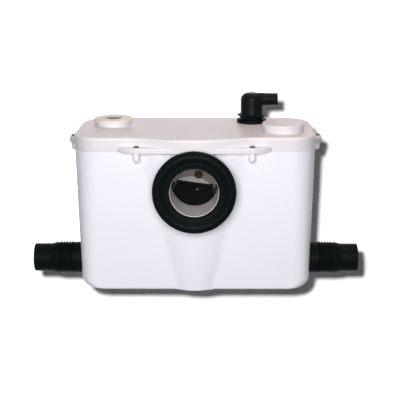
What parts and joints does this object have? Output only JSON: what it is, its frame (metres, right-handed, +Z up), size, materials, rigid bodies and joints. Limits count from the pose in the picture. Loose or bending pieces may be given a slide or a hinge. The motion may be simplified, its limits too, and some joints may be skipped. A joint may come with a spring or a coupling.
{
  "type": "macerator toilet pump",
  "caption": "White macerator pump tank with screwed lid, rubber toilet inlet, ribbed side inlets, swivelling discharge elbow, vent and access caps, motor, cutter and pump inside.",
  "frame": {"origin": "middle of the tank's base, on the floor", "axes": "+Z up, +X to the right seen from the toilet, -Y towards the toilet"},
  "size_m": [0.5636, 0.2424, 0.3158],
  "materials": {
    "white_body": "satin moulded white",
    "white_lid": "satin moulded warm white",
    "black_rubber": "semi-matt black rubber",
    "dark_steel": "dark zinc",
    "steel": "bright steel",
    "brass": "dull brass",
    "grey_plastic": "moulded grey",
    "grey_brown": "moulded grey-brown",
    "black_plastic": "moulded black",
    "cream_plastic": "moulded cream",
    "carbon_foam": "open foam",
    "motor_paint": "smooth grey paint",
    "aluminium": "as cast",
    "copper": "varnished copper wire"
  },
  "bodies": {
    "tank_unit": {"tank": "white_body", "lid": "white_lid", "lid_gasket": "black_rubber", "lid_screws": "dark_steel", "inlet_pipe": "white_body", "inlet_collar": "black_rubber", "flap_bar": "white_body", "flap_hinge_pin": "steel", "flap_shield": "grey_brown", "flap_clamp_screw": "brass", "left_spigot": "grey_plastic", "right_spigot": "grey_plastic", "left_sleeve": "black_rubber", "right_sleeve": "black_rubber", "side_flap_pins": "steel", "discharge_pipe": "grey_plastic", "outlet_grommet": "black_rubber", "valve_seat": "grey_plastic", "valve_pin": "steel", "cutter_basket": "grey_plastic", "pump_casing": "grey_plastic", "outlet_coupling": "black_rubber", "coupling_bands": "steel", "seal_plate": "grey_plastic", "shaft_seal": "black_rubber", "motor_can": "motor_paint", "end_shields": "aluminium", "shaft_bearings": "steel", "stator_core": "steel", "stator_windings": "copper", "motor_deck": "grey_plastic", "deck_screws": "steel", "motor_bolts": "steel", "run_capacitor": "aluminium", "capacitor_clip": "steel", "terminal_block": "cream_plastic", "thermal_cutout": "black_plastic", "pressure_bell": "grey_plastic", "pressure_diaphragm": "black_rubber", "switch_housing": "grey_plastic", "plunger_spring": "steel", "micro_switch": "black_plastic", "cable_gland": "black_plastic", "gland_nut": "black_plastic", "base_pads": "black_rubber"},
    "inlet_flap_body": {"inlet_flap": "black_rubber", "flap_rivet": "steel"},
    "left_flap_body": {"left_side_flap": "black_rubber"},
    "right_flap_body": {"right_side_flap": "black_rubber"},
    "elbow_body": {"discharge_elbow": "black_rubber"},
    "valve_flap_body": {"valve_flap": "black_rubber"},
    "vent_cap_body": {"vent_cap": "cream_plastic", "carbon_filter": "carbon_foam"},
    "access_cap_body": {"access_cap": "white_lid"},
    "rotor_body": {"rotor_core": "steel", "motor_shaft": "steel", "pump_impeller": "grey_plastic", "cutter_blade": "steel", "cutter_nut": "steel"},
    "plunger_body": {"pressure_plunger": "cream_plastic"}
  },
  "joints": [
    {"name": "inlet_flap_hinge", "type": "hinge", "parent": "tank_unit", "child": "inlet_flap_body", "pos_m": [0, -0.0621, 0.18], "axis": [0.9898, 0, -0.1426], "range_deg": [0, 65]},
    {"name": "left_flap_hinge", "type": "hinge", "parent": "tank_unit", "child": "left_flap_body", "pos_m": [-0.1826, -0.028, 0.06], "axis": [0, -1, 0], "range_deg": [0, 50]},
    {"name": "right_flap_hinge", "type": "hinge", "parent": "tank_unit", "child": "right_flap_body", "pos_m": [0.1826, -0.028, 0.06], "axis": [0, 1, 0], "range_deg": [0, 50]},
    {"name": "elbow_swivel", "type": "hinge", "parent": "tank_unit", "child": "elbow_body", "pos_m": [0.0986, 0.045, 0.29], "axis": [0, 0, 1], "range_deg": [-180, 180]},
    {"name": "valve_flap_hinge", "type": "hinge", "parent": "tank_unit", "child": "valve_flap_body", "pos_m": [0.0866, 0.045, 0.2886], "axis": [0, -1, 0], "range_deg": [0, 50]},
    {"name": "vent_cap_turn", "type": "hinge", "parent": "tank_unit", "child": "vent_cap_body", "pos_m": [-0.143, 0.024, 0.27], "axis": [0, 0, 1], "range_deg": [0, 90]},
    {"name": "access_cap_turn", "type": "hinge", "parent": "tank_unit", "child": "access_cap_body", "pos_m": [0.1487, -0.0343, 0.27], "axis": [0, 0, 1], "range_deg": [0, 90]},
    {"name": "rotor_spin", "type": "hinge", "parent": "tank_unit", "child": "rotor_body", "pos_m": [-0.10025, 0, 0.1], "axis": [0, 0, 1], "continuous": true},
    {"name": "plunger_press", "type": "slide", "parent": "tank_unit", "child": "plunger_body", "axis": [0, 0, 1], "range_m": [0, 0.003], "stiffness_N_per_m": 100, "springref_m": -0.001, "deforming": ["plunger_spring"]}
  ]
}
